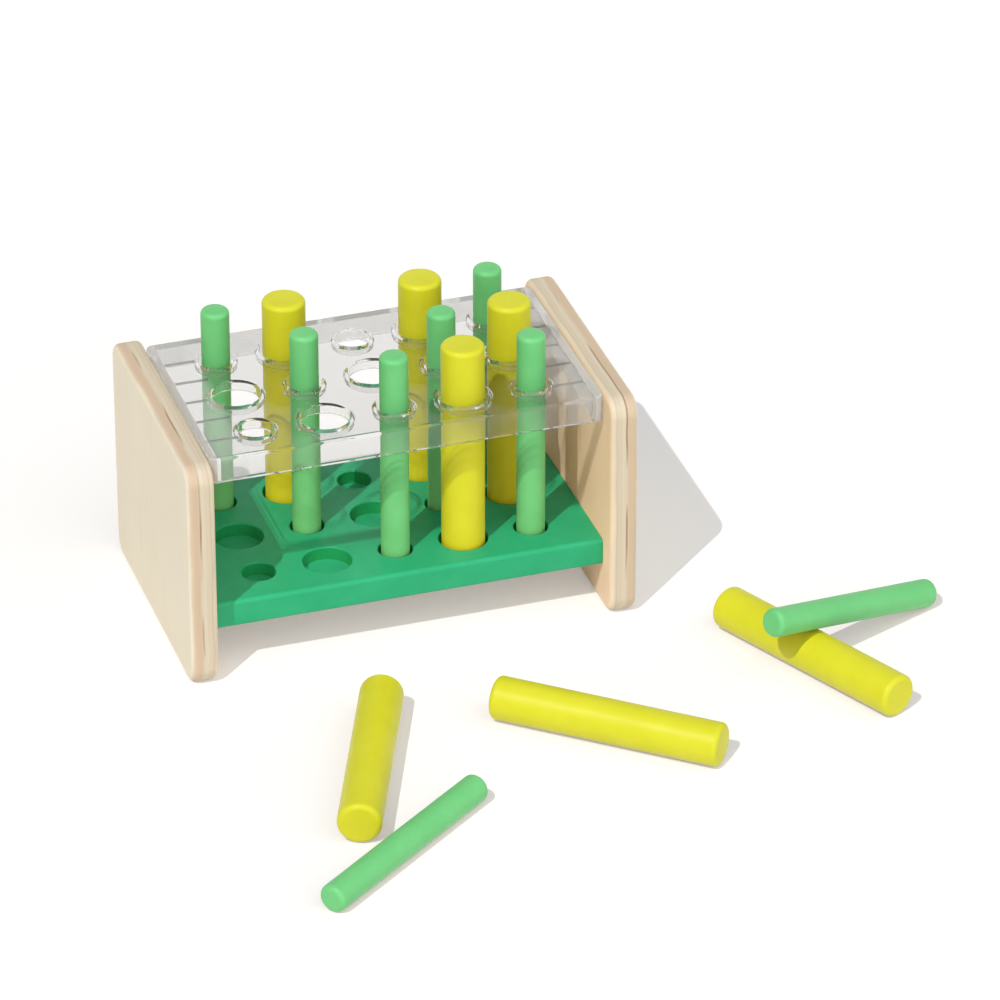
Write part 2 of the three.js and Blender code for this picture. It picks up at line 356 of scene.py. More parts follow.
@dataclass(frozen=True)
class BirchPly:
    """Birch plywood under a thin satin lacquer: rotary-cut faces with faint upright grain, and plies bare
    at the edges as cream and tan bands, with a broken brown glue line between two of them. The inner face
    is painted warmer and brighter than the outer face, as painted light."""

    inner: float = 85.8 * MM
    thickness: float = 12.0 * MM
    plies: Stops = (
        # The stops at the inner face, 0.00 and 0.04, are warmer and brighter than the outer face: painted
        # light.
        (0.00, "#ffe2bc"), (0.04, "#fbe0bc"), (0.10, "#e8dac2"), (0.15, "#ddd2bb"), (0.20, "#cdbb9d"),
        (0.25, "#d6c9b1"), (0.37, "#d6c7ad"), (0.42, "#dbd0b9"), (0.54, "#dacdb5"), (0.60, "#d3c1a7"),
        (0.66, "#d2b99c"), (0.84, "#d5bca0"), (0.90, "#dbcab1"), (0.96, "#f2e8cf"),
    )
    sway: float = 0.35 * MM
    sway_size: float = 26.0
    grain_tone: str = "#cfb08a"
    grain_width: float = 0.9
    grain_length: float = 38.0
    grain_turn: Band = (0.55, 0.85)
    grain_band: Band = (0.42, 0.8)
    grain_share: float = 0.2
    grain_relief: float = 0.12 * MM
    cloud_tone: str = "#e3d0b2"
    cloud_size: float = 34.0
    cloud_share: float = 0.16
    glue_tone: str = "#9c7a55"
    glue_place: float = 0.56
    glue_reach: float = 0.034
    glue_share: float = 0.8
    dash_size: float = 48.0
    dash_band: Band = (0.47, 0.57)
    roughness: float = 0.55
    ior: float = 1.48

    def depth(self, tree: Tree, spot: Socket) -> Socket:
        """Measures how deep a point lies in the panel, with wavy plies.

        Args:
            tree: The material's node tree.
            spot: The surface's place.

        Returns:
            The depth, from 0 at the inner face to 1 at the outer one.
        """
        place = add_node(tree, "SeparateXYZ", {}, {0: spot})
        out = add_node(tree, "Math", {"operation": "ABSOLUTE"}, {0: place.outputs["X"]})
        wave = add_node(tree, "TexNoise", {}, {
            "Vector": spot, "Scale": per_mm(self.sway_size), "Detail": 2.0,
        })
        sway = add_node(tree, "MapRange", {}, {
            "Value": wave.outputs["Fac"], **between(NOISE_BAND), "To Min": -self.sway, "To Max": self.sway,
        })
        bent = add_node(tree, "Math", {"operation": "ADD"}, {0: out.outputs[0], 1: sway.outputs["Result"]})
        return add_node(tree, "MapRange", {}, {
            "Value": bent.outputs[0], "From Min": self.inner, "From Max": self.inner + self.thickness,
        }).outputs["Result"]

    def grain(self, tree: Tree, spot: Socket) -> Socket:
        """Builds fine grain that stands upright on the faces and runs front to back on level edges.

        Args:
            tree: The material's node tree.
            spot: The surface's place.

        Returns:
            The grain, from 0 to 1.
        """
        lying = add_node(tree, "MapRange", {}, {"Value": facing(tree)[1], **between(self.grain_turn)})
        fine, long = per_mm(self.grain_width), per_mm(self.grain_length)
        upright = add_node(tree, "Mapping", {}, {"Vector": spot, "Scale": (fine, fine, long)})
        level = add_node(tree, "Mapping", {}, {"Vector": spot, "Scale": (fine, long, fine)})
        stretch = add_node(tree, "Mix", {"data_type": "VECTOR"}, {
            0: lying.outputs["Result"], 4: upright.outputs[0], 5: level.outputs[0],
        })
        return add_node(tree, "TexNoise", {}, {
            "Vector": stretch.outputs[1], "Scale": 1.0, "Detail": 3.0, "Roughness": 0.6,
        }).outputs["Fac"]

    def glue(self, tree: Tree, spot: Socket, depth: Socket) -> Socket:
        """Builds the broken glue line between two plies.

        Args:
            tree: The material's node tree.
            spot: The surface's place.
            depth: How deep the surface lies in the panel.

        Returns:
            How much glue shows, from 0 to 1.
        """
        seam = add_node(tree, "Math", {"operation": "COMPARE"}, {
            0: depth, 1: self.glue_place, 2: self.glue_reach,
        })
        dashes = add_node(tree, "TexNoise", {}, {
            "Vector": spot, "Scale": per_mm(self.dash_size), "Detail": 1.5,
        })
        shown = add_node(tree, "MapRange", {}, {
            "Value": dashes.outputs["Fac"], **between(self.dash_band), "To Max": self.glue_share,
        })
        return add_node(tree, "Math", {"operation": "MULTIPLY"}, {
            0: seam.outputs[0], 1: shown.outputs["Result"],
        }).outputs[0]

    def material(self) -> Material:
        """Builds the plywood from where a point lies between the panel's inner and outer face."""
        material, tree = new_tree("birch_plywood_lacquered")
        spot = add_node(tree, "TexCoord", {}, {}).outputs["Object"]
        depth, grain = self.depth(tree, spot), self.grain(tree, spot)
        streak = add_node(tree, "MapRange", {}, {
            "Value": grain, **between(self.grain_band), "To Max": self.grain_share,
        })
        cloud = add_node(tree, "TexNoise", {}, {
            "Vector": spot, "Scale": per_mm(self.cloud_size), "Detail": 1.0,
        })
        shade = add_node(tree, "MapRange", {}, {
            "Value": cloud.outputs["Fac"], **between(NOISE_BAND), "To Max": self.cloud_share,
        })
        colour = add_node(tree, "ValToRGB", {"stops": self.plies}, {"Fac": depth}).outputs["Color"]
        for share, tone in (
            (streak.outputs["Result"], self.grain_tone), (shade.outputs["Result"], self.cloud_tone),
            (self.glue(tree, spot, depth), self.glue_tone),
        ):
            colour = add_node(tree, "Mix", {"data_type": "RGBA"}, {
                0: share, 6: colour, 7: linear(tone),
            }).outputs[2]
        bump = add_node(tree, "Bump", {}, {
            "Height": grain, "Strength": 0.25, "Distance": self.grain_relief,
        })
        wood = add_node(tree, "BsdfPrincipled", {}, {
            "Base Color": colour, "Roughness": self.roughness, "IOR": self.ior,
            "Normal": bump.outputs["Normal"],
        })
        add_node(tree, "OutputMaterial", {}, {"Surface": wood.outputs[0]})
        return material


@dataclass(frozen=True)
class PaintedWood:
    """Satin water-based paint sprayed on wood: an even colour with a faint cloudiness, fine orange peel,
    and the wood's grain just telegraphing through along the piece. It throws a warm, nearly neutral light
    on its neighbours. It can paint shade on the upright walls of sockets, as a darker, more saturated green."""

    name: str
    tone: str
    shade: str
    place_attribute: str
    along: Vector
    roughness: float = 0.42
    thrown: str = "#b9a478"
    thrown_share: float = 0.75
    socket_painted_shade: str = ""
    socket_field: Band = (80.0 * MM, 45.0 * MM)
    socket_wall: Band = (0.7, 0.2)
    cloud_size: float = 14.0
    grain_length: float = 26.0
    grain_width: float = 1.1
    grain_relief: float = 0.06 * MM
    peel_size: float = 0.9
    peel_relief: float = 0.04 * MM
    glossier: float = 0.05
    duller: float = 0.06
    ior: float = 1.5
    gloss: float = 0.35

    def paint_socket_shade(self, tree: Tree, spot: Socket, colour: Socket) -> Socket:
        """Paints shade on the upright walls of sockets as a darker, more saturated green.

        Args:
            tree: The material's node tree.
            spot: The surface's place.
            colour: The paint's colour.

        Returns:
            The colour with the painted shade in the sockets.
        """
        wall = add_node(tree, "MapRange", {}, {
            "Value": facing(tree)[1], **between(self.socket_wall),
        }).outputs["Result"]
        place = add_node(tree, "SeparateXYZ", {}, {0: spot})
        for side, reach in zip("XY", self.socket_field):
            out = add_node(tree, "Math", {"operation": "ABSOLUTE"}, {0: place.outputs[side]})
            within = add_node(tree, "Math", {"operation": "LESS_THAN"}, {0: out.outputs[0], 1: reach})
            wall = add_node(tree, "Math", {"operation": "MULTIPLY"}, {
                0: wall, 1: within.outputs[0],
            }).outputs[0]
        # Painted shade: the sockets' upright walls get a darker, more saturated green.
        return add_node(tree, "Mix", {"data_type": "RGBA"}, {
            0: wall, 6: colour, 7: linear(self.socket_painted_shade),
        }).outputs[2]

    def relief(self, tree: Tree, spot: Socket) -> Socket:
        """Builds the grain and orange peel that stand out of the paint.

        Args:
            tree: The material's node tree.
            spot: The surface's place.

        Returns:
            The surface's normal.
        """
        stretch = [per_mm(self.grain_length if part > 0.5 else self.grain_width) for part in self.along]
        lines = add_node(tree, "Mapping", {}, {"Vector": spot, "Scale": stretch})
        grain = add_node(tree, "TexNoise", {}, {"Vector": lines.outputs[0], "Scale": 1.0, "Detail": 2.0})
        peel = add_node(tree, "TexNoise", {}, {
            "Vector": spot, "Scale": per_mm(self.peel_size), "Detail": 2.0,
        })
        raised = add_node(tree, "Bump", {}, {
            "Height": grain.outputs["Fac"], "Strength": 0.3, "Distance": self.grain_relief,
        })
        return add_node(tree, "Bump", {}, {
            "Height": peel.outputs["Fac"], "Strength": 0.25, "Distance": self.peel_relief,
            "Normal": raised.outputs["Normal"],
        }).outputs["Normal"]

    def material(self) -> Material:
        """Builds the paint on the piece's own coordinates."""
        material, tree = new_tree(self.name)
        if self.place_attribute:
            named = {"attribute_name": self.place_attribute}
            spot = add_node(tree, "Attribute", named, {}).outputs[1]
        else:
            spot = add_node(tree, "TexCoord", {}, {}).outputs["Object"]
        cloud = add_node(tree, "TexNoise", {}, {
            "Vector": spot, "Scale": per_mm(self.cloud_size), "Detail": 3.0, "Roughness": 0.55,
        }).outputs["Fac"]
        amount = add_node(tree, "MapRange", {}, {"Value": cloud, **between(NOISE_BAND)})
        colour = add_node(tree, "Mix", {"data_type": "RGBA"}, {
            0: amount.outputs["Result"], 6: linear(self.tone), 7: linear(self.shade),
        }).outputs[2]
        if self.socket_painted_shade:
            colour = self.paint_socket_shade(tree, spot, colour)
        path = add_node(tree, "LightPath", {}, {})
        neutral = add_node(tree, "Math", {"operation": "MULTIPLY"}, {
            0: path.outputs["Is Diffuse Ray"], 1: self.thrown_share,
        })
        lighting = add_node(tree, "Mix", {"data_type": "RGBA"}, {
            0: neutral.outputs[0], 6: colour, 7: linear(self.thrown),
        })
        sheen = add_node(tree, "MapRange", {}, {
            "Value": cloud, **between(NOISE_BAND),
            "To Min": self.roughness - self.glossier, "To Max": self.roughness + self.duller,
        })
        paint = add_node(tree, "BsdfPrincipled", {}, {
            "Base Color": lighting.outputs[2], "Roughness": sheen.outputs["Result"], "IOR": self.ior,
            "Specular IOR Level": self.gloss, "Normal": self.relief(tree, spot),
        })
        add_node(tree, "OutputMaterial", {}, {"Surface": paint.outputs[0]})
        return material


@dataclass(frozen=True)
class ClearAcrylic:
    """Clear moulded acrylic: polished faces that bend and mirror the white room, a slight haze that is
    stronger on upright walls and among the ribs and strongest in the satin end walls, and grey where
    plate and rounded edges are seen at a flat angle. Lamps shine through, less in rounded edges, which
    bend them, and less through upright walls low in the skirt and near the plate, as painted bands of shadow."""

    name: str = "clear_acrylic_moulded"
    tint: str = "#f2f2f1"
    edge: str = "#a3a1a1"
    edge_blend: float = 0.2
    edge_level: Band = (0.03, 0.2)
    milk: str = "#eeeeec"
    wall_haze: float = 0.05
    plate_haze: float = 0.012
    end_haze: float = 0.4
    end: float = 81.9 * MM
    rib_haze: float = 0.19
    rib_zone: Band = (66.0 * MM, 71.0 * MM)
    roughness: float = 0.02
    ior: float = 1.25
    foot: float = 70.5 * MM
    top: float = 82.5 * MM
    lamplight: str = "#fbfbfb"
    bent_lamplight: str = "#909090"
    bent_level: Band = (0.9, 0.98)
    tilt_level: Band = (0.04, 0.15)
    # Lamplight by height through upright walls: its dark bands are painted shadow.
    skirt_lamplight: Stops = (
        (0.60, "#969696"), (0.66, "#fbfbfb"), (0.80, "#fbfbfb"), (0.84, "#8c8c8c"),
    )

    def haze(self, tree: Tree, flat: Socket, place: Any) -> Socket:
        """Builds how cloudy the plastic is.

        Args:
            tree: The material's node tree.
            flat: How level the surface lies, from 0 to 1.
            place: The node that gives the parts of the surface's place.

        Returns:
            The share of the surface that scatters light.
        """
        faint = add_node(tree, "MapRange", {}, {
            "Value": flat, "To Min": self.wall_haze, "To Max": self.plate_haze,
        })
        out = add_node(tree, "Math", {"operation": "ABSOLUTE"}, {0: place.outputs["X"]})
        ribbed = add_node(tree, "MapRange", {}, {
            "Value": out.outputs[0], **between(self.rib_zone), "To Max": self.rib_haze,
        })
        misted = add_node(tree, "Math", {"operation": "MAXIMUM"}, {
            0: faint.outputs["Result"], 1: ribbed.outputs["Result"],
        })
        at_end = add_node(tree, "Math", {"operation": "GREATER_THAN"}, {0: out.outputs[0], 1: self.end})
        satin = add_node(tree, "Math", {"operation": "MULTIPLY"}, {0: at_end.outputs[0], 1: self.end_haze})
        return add_node(tree, "Math", {"operation": "MAXIMUM"}, {
            0: misted.outputs[0], 1: satin.outputs[0],
        }).outputs[0]

    def body(self, tree: Tree, flat: Socket, place: Any) -> Socket:
        """Builds what the eye sees of the plastic.

        Args:
            tree: The material's node tree.
            flat: How level the surface lies, from 0 to 1.
            place: The node that gives the parts of the surface's place.

        Returns:
            The refracting and hazy shader.
        """
        graze = add_node(tree, "LayerWeight", {}, {"Blend": self.edge_blend})
        level = add_node(tree, "MapRange", {}, {"Value": flat, **between(self.edge_level)})
        greyed = add_node(tree, "Math", {"operation": "MULTIPLY"}, {
            0: graze.outputs["Facing"], 1: level.outputs["Result"],
        })
        veil = add_node(tree, "Mix", {"data_type": "RGBA"}, {
            0: greyed.outputs[0], 6: linear(self.tint), 7: linear(self.edge),
        })
        clear = add_node(tree, "BsdfPrincipled", {}, {
            "Base Color": veil.outputs[2], "Roughness": self.roughness, "IOR": self.ior,
            "Transmission Weight": 1.0,
        })
        milk = add_node(tree, "BsdfDiffuse", {}, {"Color": linear(self.milk)})
        return add_node(tree, "MixShader", {}, {
            0: self.haze(tree, flat, place), 1: clear.outputs[0], 2: milk.outputs[0],
        }).outputs[0]

    def passed(self, tree: Tree, flat: Socket, face: Any, place: Any) -> Socket:
        """Builds the lamplight that comes through.

        Args:
            tree: The material's node tree.
            flat: How level the surface lies, from 0 to 1.
            face: The node that gives the parts of the surface's normal.
            place: The node that gives the parts of the surface's place.

        Returns:
            The transparent shader.
        """
        height = add_node(tree, "MapRange", {}, {
            "Value": place.outputs["Z"], "From Min": self.foot, "From Max": self.top,
        })
        skirt = add_node(tree, "ValToRGB", {"stops": self.skirt_lamplight}, {
            "Fac": height.outputs["Result"],
        })
        sideways = add_node(tree, "Math", {"operation": "ABSOLUTE"}, {0: face.outputs["X"]})
        upright = add_node(tree, "Mix", {"data_type": "RGBA"}, {
            0: sideways.outputs[0], 6: skirt.outputs["Color"], 7: linear(self.lamplight),
        })
        bent = tuple(zip(self.bent_level, (self.bent_lamplight, self.lamplight)))
        level = add_node(tree, "ValToRGB", {"stops": bent}, {"Fac": flat})
        tilted = add_node(tree, "MapRange", {}, {"Value": flat, **between(self.tilt_level)})
        colour = add_node(tree, "Mix", {"data_type": "RGBA"}, {
            0: tilted.outputs["Result"], 6: upright.outputs[2], 7: level.outputs["Color"],
        })
        return add_node(tree, "BsdfTransparent", {}, {"Color": colour.outputs[2]}).outputs[0]

    def material(self) -> Material:
        """Builds refracting plastic that lets lamplight straight through."""
        material, tree = new_tree(self.name)
        face, flat = facing(tree)
        spot = add_node(tree, "TexCoord", {}, {}).outputs["Object"]
        place = add_node(tree, "SeparateXYZ", {}, {0: spot})
        path = add_node(tree, "LightPath", {}, {})
        lamp = add_node(tree, "Math", {"operation": "MAXIMUM"}, {
            0: path.outputs["Is Shadow Ray"], 1: path.outputs["Is Diffuse Ray"],
        })
        surface = add_node(tree, "MixShader", {}, {
            0: lamp.outputs[0], 1: self.body(tree, flat, place), 2: self.passed(tree, flat, face, place),
        })
        add_node(tree, "OutputMaterial", {}, {"Surface": surface.outputs[0]})
        return material


@dataclass(frozen=True)
class BareBeech:
    """Bare beech dowel rod: warm tan with short dark flecks along the rod."""

    tone: str = "#d9bf98"
    fleck: str = "#b08a60"
    fleck_length: float = 6.0
    fleck_width: float = 0.6
    fleck_band: Band = (0.5, 0.75)
    fleck_share: float = 0.7
    roughness: float = 0.65
    ior: float = 1.48

    def material(self) -> Material:
        """Builds the beech with its grain along x."""
        material, tree = new_tree("bare_beech")
        spot = add_node(tree, "TexCoord", {}, {}).outputs["Object"]
        across = per_mm(self.fleck_width)
        lines = add_node(tree, "Mapping", {}, {
            "Vector": spot, "Scale": (per_mm(self.fleck_length), across, across),
        })
        fleck = add_node(tree, "TexNoise", {}, {"Vector": lines.outputs[0], "Scale": 1.0, "Detail": 2.0})
        amount = add_node(tree, "MapRange", {}, {
            "Value": fleck.outputs["Fac"], **between(self.fleck_band), "To Max": self.fleck_share,
        })
        colour = add_node(tree, "Mix", {"data_type": "RGBA"}, {
            0: amount.outputs["Result"], 6: linear(self.tone), 7: linear(self.fleck),
        })
        wood = add_node(tree, "BsdfPrincipled", {}, {
            "Base Color": colour.outputs[2], "Roughness": self.roughness, "IOR": self.ior,
        })
        add_node(tree, "OutputMaterial", {}, {"Surface": wood.outputs[0]})
        return material


# The board's darker socket-wall green is painted shade.
BOARD_GREEN = PaintedWood(
    "board_paint_green", "#28b179", "#22a971", "", Vector((1, 0, 0)), roughness=0.48,
    thrown="#ecd0bc", socket_painted_shade="#09a059",
)
SLIM_GREEN = PaintedWood("slim_peg_paint_green", "#74cf80", "#6cc879", PEG_PLACES, UP)
THICK_YELLOW = PaintedWood("thick_peg_paint_yellow", "#dedc2a", "#d8d622", PEG_PLACES, UP)
# The ribs' grey tint and grey haze are painted shade for the dark lines that their clear walls show.
SATIN_RIBS_SHADED_GREY = ClearAcrylic(
    "clear_acrylic_satin_shaded_grey", tint="#858484", edge="#666565", milk="#858484", rib_haze=0.0, roughness=0.3,
)


# The stand's pieces


@dataclass(frozen=True)
class Hole:
    """One place of the hole pattern."""

    place: Vector
    bore: float


@dataclass
class HolePattern:
    """The pattern of slim and thick places that board and tray share."""

    pitch: float = 30.0 * MM
    columns: int = 5
    rows: int = 3
    slim_bore: float = 7.3 * MM
    thick_bore: float = 10.45 * MM

    def holes(self) -> list[Hole]:
        """Lists the places, with slim and thick ones in turn like the squares of a chessboard."""
        found = []
        for row in range(self.rows):
            for column in range(self.columns):
                x = (column - (self.columns - 1) / 2) * self.pitch
                y = ((self.rows - 1) / 2 - row) * self.pitch
                bore = self.slim_bore if (row + column) % 2 == 0 else self.thick_bore
                found.append(Hole(Vector((x, y, 0.0)), bore))
        return found

    def copies(self, name: str, form: Callable[[float], Profile], facets: int) -> Piece:
        """Turns one form for each size of hole and copies it to every place.

        Args:
            name: The name of the whole.
            form: Gives the turned profile for a bore's radius.
            facets: How many faces go round each.

        Returns:
            All the copies as one object.
        """
        whole = []
        for bore in (self.slim_bore, self.thick_bore):
            first = turned(name, form(bore), facets)
            places = [hole.place for hole in self.holes() if hole.bore == bore]
            whole += [copy_of(first, name, place) for place in places]
            bpy.data.objects.remove(first)
        return gather(name, whole)


@dataclass
class Dowels:
    """The hidden rods between board and panels, which also give their bores."""

    spacing: float = 36.0 * MM
    per_end: int = 3
    radius: float = 3.0 * MM
    gap: float = 0.3 * MM
    in_board: float = 12.05 * MM
    in_panel: float = 8.0 * MM
    level: float = 6.25 * MM
    facets: int = 32

    def bores(self, end: End, start: float) -> Piece:
        """Makes the bores at one end.

        Args:
            end: The end of the stand.
            start: How far the board's end lies from the middle.

        Returns:
            The bores as one cutter.
        """
        depth = self.in_board + self.in_panel + 2 * self.gap
        middle = start + (self.in_panel - self.in_board) / 2
        cutters = []
        for i in range(self.per_end):
            deselect()
            y = (i - (self.per_end - 1) / 2) * self.spacing
            bpy.ops.mesh.primitive_cylinder_add(
                vertices=self.facets, radius=self.radius + self.gap, depth=depth,
                location=(end.value * middle, y, self.level), rotation=(0.0, pi / 2, 0.0),
            )
            cutters.append(settle(made("dowel_bore")))
        return gather("dowel_bores", cutters)

    def dress(self, material: Material) -> None:
        """Gives the CAD dowels their wood."""
        for name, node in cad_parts.items():
            if "_dowel_" in name:
                node.data.materials.clear()
                node.data.materials.append(material)
                LOG.info("%s keeps its CAD form", name)


@dataclass
class EndPanel:
    """A plywood end panel with rounded corners and edges, and a mortise for the tray's tongue."""

    end: End
    inner: float = 85.8 * MM
    thickness: float = 12.0 * MM
    depth: float = 120.0 * MM
    foot: float = -20.5 * MM
    top: float = 83.5 * MM
    corner: float = 8.5 * MM
    edge: float = 2.7 * MM
    mortise_width: float = 58.6 * MM
    mortise_height: float = 6.6 * MM
    mortise_depth: float = 5.5 * MM
    mortise_corner: float = 2.3 * MM
    mortise_level: float = 76.5 * MM
    corner_steps: int = 12
    edge_steps: int = 6

    def blank(self, name: str, span: tuple[float, float], width: float, heights: tuple) -> Piece:
        """Adds a block at this end.

        Args:
            name: The object's name.
            span: Its two distances from the middle of the stand.
            width: Its size from front to back.
            heights: Its lowest and highest level.

        Returns:
            The block.
        """
        near, far = sorted(self.end.value * distance for distance in span)
        return block(name, Vector((near, -width / 2, heights[0])), Vector((far, width / 2, heights[1])))

    def build(self, dowels: Dowels) -> Piece:
        """Models the panel and returns it."""
        outer = self.inner + self.thickness
        panel = self.blank(
            f"{self.end.name.lower()}_panel", (self.inner, outer), self.depth, (self.foot, self.top),
        )
        round_edges(panel, along(0), self.corner, self.corner_steps)
        faces = (self.end.value * self.inner, self.end.value * outer)
        round_edges(panel, at_level(0, *faces), self.edge, self.edge_steps)
        half = self.mortise_height / 2
        mortise = self.blank(
            "mortise", (self.inner - self.mortise_depth, self.inner + self.mortise_depth),
            self.mortise_width, (self.mortise_level - half, self.mortise_level + half),
        )
        round_edges(mortise, along(0), self.mortise_corner, self.edge_steps)
        combine(panel, mortise, Cut.REMOVE)
        combine(panel, dowels.bores(self.end, self.inner), Cut.REMOVE)
        smooth(panel)
        return panel

    def dress(self, panel: Piece, material: Material) -> None:
        """Puts the plywood on and ties the panel to the stand."""
        put_up(panel, "stand", f"{self.end.name.lower()}_end_panel", material)


@dataclass
class PegBoard:
    """The painted board with its blind round sockets."""

    length: float = 171.6 * MM
    depth: float = 100.0 * MM
    thickness: float = 12.5 * MM
    edge: float = 2.0 * MM
    end_edge: float = 0.5 * MM
    socket_depth: float = 6.0 * MM
    mouth: float = 0.7 * MM
    edge_steps: int = 6
    end_steps: int = 3
    mouth_steps: int = 4
    facets: int = 64

    def socket(self, bore: float) -> Profile:
        """Returns the turned form of a socket, with a rounded mouth."""
        level = self.thickness - self.mouth + CUT_PAST
        mouth = quarter((bore + self.mouth, level), self.mouth, 180, 90, self.mouth_steps)
        return [(bore, self.thickness - self.socket_depth), *mouth, (bore + self.mouth, level + MM)]

    def build(self, pattern: HolePattern, dowels: Dowels) -> Piece:
        """Models the board and returns it."""
        half = Vector((self.length / 2, self.depth / 2, 0.0))
        board = block("board", -half, half + UP * self.thickness)
        round_edges(board, along(0), self.edge, self.edge_steps)
        round_edges(board, at_level(0, -half.x, half.x), self.end_edge, self.end_steps)
        combine(board, pattern.copies("sockets", self.socket, self.facets), Cut.REMOVE)
        for end in End:
            combine(board, dowels.bores(end, half.x), Cut.REMOVE)
        smooth(board)
        return board

    def dress(self, board: Piece, material: Material) -> None:
        """Puts the paint on and ties the board to the stand."""
        put_up(board, "stand", "peg_board", material)


@dataclass
class GuideTray:
    """The clear moulded tray: a rounded shell with collared holes, end ribs and two tongues."""

    length: float = 171.0 * MM
    depth: float = 100.0 * MM
    top: float = 82.5 * MM
    height: float = 12.0 * MM
    plate: float = 2.0 * MM
    skirt: float = 2.4 * MM
    end_wall: float = 3.3 * MM
    corner: float = 3.0 * MM
    edge: float = 0.8 * MM
    foot_edge: float = 0.5 * MM
    inner_edge: float = 0.8 * MM
    collar_wall: float = 1.7 * MM
    collar_depth: float = 5.0 * MM
    collar_fillet: float = 0.5 * MM
    rim: float = 1.0 * MM
    ribs: int = 5
    rib_thickness: float = 0.8 * MM
    rib_depth: float = 2.7 * MM
    rib_length: float = 15.0 * MM
    tongue_width: float = 58.0 * MM
    tongue_height: float = 6.0 * MM
    tongue_length: float = 5.5 * MM
    tongue_corner: float = 2.0 * MM
    corner_steps: int = 8
    edge_steps: int = 5
    inner_steps: int = 4
    fillet_steps: int = 3
    tongue_steps: int = 6
    facets: int = 72

    def collar(self, bore: float) -> Profile:
        """Returns the turned form of a collar, rounded below and filleted into the plate."""
        outer, soft = bore + self.collar_wall, self.collar_fillet
        low, under = self.top - self.collar_depth, self.top - self.plate
        foot = quarter((outer - soft, low + soft), soft, -90, 0, self.fillet_steps)
        root = quarter((outer + soft, under - soft), soft, 180, 90, self.fillet_steps)
        return [*foot, *root, (outer + soft, self.top - self.plate / 2)]

    def opening(self, bore: float) -> Profile:
        """Returns the turned form of a guide hole, with a rounded rim."""
        level = self.top - self.rim + CUT_PAST
        rim = quarter((bore + self.rim, level), self.rim, 180, 90, self.edge_steps)
        return [(bore, self.top - self.height), *rim, (bore + self.rim, level + 2 * self.rim)]

    def shell(self) -> Piece:
        """Models the plate and skirt and returns them."""
        half = Vector((self.length / 2, self.depth / 2, 0.0))
        low = self.top - self.height
        shell = block("guide_tray_clear", UP * low - half, UP * self.top + half)
        round_edges(shell, along(2), self.corner, self.corner_steps)
        round_edges(shell, at_level(2, self.top), self.edge, self.edge_steps)
        round_edges(shell, at_level(2, low), self.foot_edge, self.inner_steps)
        room = half - Vector((self.end_wall, self.skirt, 0.0))
        ceiling = self.top - self.plate
        hollow = block("hollow", UP * (low - self.plate) - room, UP * ceiling + room)
        round_edges(hollow, along(2), self.corner, self.corner_steps)
        round_edges(hollow, at_level(2, ceiling), self.inner_edge, self.inner_steps)
        combine(shell, hollow, Cut.REMOVE)
        return shell

    def end_pieces(self, end: End) -> Piece:
        """Models the ribs and the tongue of one end and returns them as one solid."""
        wall = self.length / 2 - self.end_wall / 2
        low, high = self.top - self.rib_depth, self.top - self.plate / 2
        step, side = self.depth / (self.ribs + 1), self.rib_thickness / 2
        tip = self.length / 2 - self.end_wall - self.rib_length
        near, far = sorted((end.value * tip, end.value * wall))
        pieces = []
        for i in range(self.ribs):
            y = (i - (self.ribs - 1) / 2) * step
            pieces.append(block("rib", Vector((near, y - side, low)), Vector((far, y + side, high))))
        near, far = sorted((end.value * wall, end.value * (self.length / 2 + self.tongue_length)))
        middle = self.top - self.height / 2
        half, side = self.tongue_height / 2, self.tongue_width / 2
        tongue = block("tongue", Vector((near, -side, middle - half)), Vector((far, side, middle + half)))
        round_edges(tongue, along(0), self.tongue_corner, self.tongue_steps)
        return gather("end_pieces", [tongue, *pieces])

    def build(self, pattern: HolePattern) -> Piece:
        """Models the tray and returns it."""
        tray = self.shell()
        combine(tray, pattern.copies("collars", self.collar, self.facets), Cut.JOIN)
        for end in End:
            combine(tray, self.end_pieces(end), Cut.JOIN)
        combine(tray, pattern.copies("openings", self.opening, self.facets), Cut.REMOVE)
        smooth(tray)
        return tray

    def on_rib(self, centre: Vector) -> bool:
        """Says whether a face with this centre belongs to a rib, below the plate."""
        step = self.depth / (self.ribs + 1)
        row = centre.y / step
        beside = abs(row - round(row)) * step < self.rib_thickness / 2 + CUT_PAST
        below = self.top - self.rib_depth - CUT_PAST < centre.z < self.top - self.plate
        inside = abs(centre.x) < self.length / 2 - self.end_wall
        beyond = abs(centre.x) > self.length / 2 - self.end_wall - self.rib_length - CUT_PAST
        return beside and below and inside and beyond

    def dress(self, tray: Piece, clear: Material, satin: Material) -> None:
        """Puts the clear plastic on, with satin ribs tinted grey as painted shade, and ties the tray to the
        stand.
        """
        put_up(tray, "stand", "guide_tray", clear)
        tray.data.materials.append(satin)
        for face in tray.data.polygons:
            face.material_index = int(self.on_rib(face.center))


